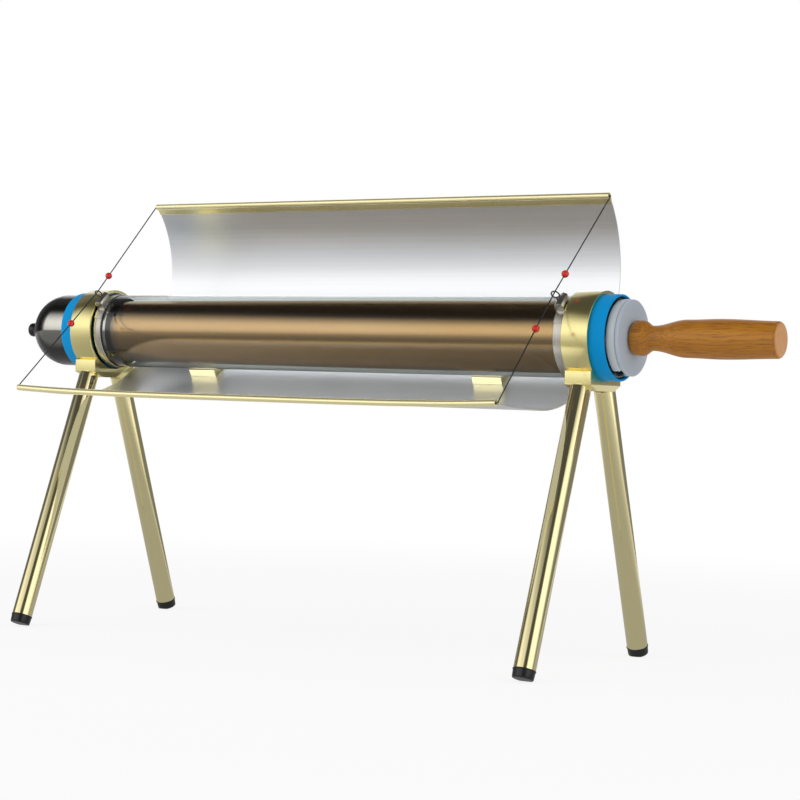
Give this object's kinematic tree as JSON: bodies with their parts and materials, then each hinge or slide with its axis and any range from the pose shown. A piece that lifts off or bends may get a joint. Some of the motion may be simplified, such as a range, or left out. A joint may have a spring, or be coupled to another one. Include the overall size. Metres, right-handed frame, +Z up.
{
  "type": "solar tube grill",
  "caption": "Vacuum glass cooking tube on splayed legs, with a mirror trough that turns about it and a tray that slides out.",
  "frame": {"origin": "on the floor, under the middle of the whole grill's box", "axes": "+X along the tube towards the handle, +Y to the rear where the mirror stands high, +Z up"},
  "size_m": [0.7958, 0.2678, 0.4124],
  "materials": {
    "clear_glass": "clear borosilicate glass, glossy",
    "absorber_coat": "bronze-black selective coating seen through the outer glass",
    "spring_steel": "bright spring steel",
    "cap_rubber": "black moulded rubber, satin",
    "gold_anodised": "pale gold anodised extrusion, satin",
    "blue_silicone": "blue moulded silicone, satin",
    "leg_anodised": "champagne anodised tube, bright",
    "foot_rubber": "black moulded rubber, matt",
    "mirror_sheet": "polished mirror aluminium",
    "trim_anodised": "pale gold anodised edge trim",
    "spacer_anodised": "cream gold anodised block",
    "stainless": "rolled stainless steel",
    "zinc_steel": "zinc plated steel",
    "wire_rope": "stranded steel wire",
    "red_bead": "red moulded plastic, glossy",
    "brass": "crimped brass",
    "stopper_silicone": "translucent white silicone",
    "frosted_disc": "frosted bluish plastic",
    "turned_wood": "turned and oiled wood, satin",
    "tray_steel": "bright stainless sheet"
  },
  "bodies": {
    "frame": {"outer_glass": "clear_glass", "inner_glass": "absorber_coat", "getter_clip": "spring_steel", "tip_cap": "cap_rubber", "left_clamp": "gold_anodised", "right_clamp": "gold_anodised", "left_sleeve": "blue_silicone", "right_sleeve": "blue_silicone", "front_left_leg": "leg_anodised", "front_right_leg": "leg_anodised", "rear_left_leg": "leg_anodised", "rear_right_leg": "leg_anodised", "leg_studs": "zinc_steel", "front_left_foot": "foot_rubber", "front_right_foot": "foot_rubber", "rear_left_foot": "foot_rubber", "rear_right_foot": "foot_rubber"},
    "reflector": {"reflector_sheet": "mirror_sheet", "front_trim": "trim_anodised", "rear_trim": "trim_anodised", "left_spacer": "spacer_anodised", "right_spacer": "spacer_anodised", "spacer_screws": "zinc_steel", "left_band": "stainless", "right_band": "stainless", "left_housing": "stainless", "right_housing": "stainless", "left_hook": "wire_rope", "right_hook": "wire_rope", "left_cable": "wire_rope", "right_cable": "wire_rope", "red_beads": "red_bead", "cable_stops": "brass"},
    "left_worm": {"left_screw": "stainless"},
    "right_worm": {"right_screw": "stainless"},
    "tray": {"stopper": "stopper_silicone", "stopper_disc": "frosted_disc", "handle": "turned_wood", "handle_bolt": "zinc_steel", "bolt_nut": "zinc_steel", "cooking_tray": "tray_steel", "tray_plate": "tray_steel", "tray_rivets": "zinc_steel"}
  },
  "joints": [
    {"name": "trough_turn", "type": "hinge", "parent": "frame", "child": "reflector", "pos_m": [0, 0.01236, 0.2825], "axis": [1, 0, 0], "continuous": true},
    {"name": "tray_slide", "type": "slide", "parent": "frame", "child": "tray", "axis": [1, 0, 0], "range_m": [0, 0.54]},
    {"name": "left_worm_turn", "type": "hinge", "parent": "reflector", "child": "left_worm", "pos_m": [-0.2846, -0.01728, 0.31014], "axis": [0, 0.682, 0.7314], "continuous": true},
    {"name": "right_worm_turn", "type": "hinge", "parent": "reflector", "child": "right_worm", "pos_m": [0.2119, -0.01728, 0.31014], "axis": [0, 0.682, 0.7314], "continuous": true}
  ]
}
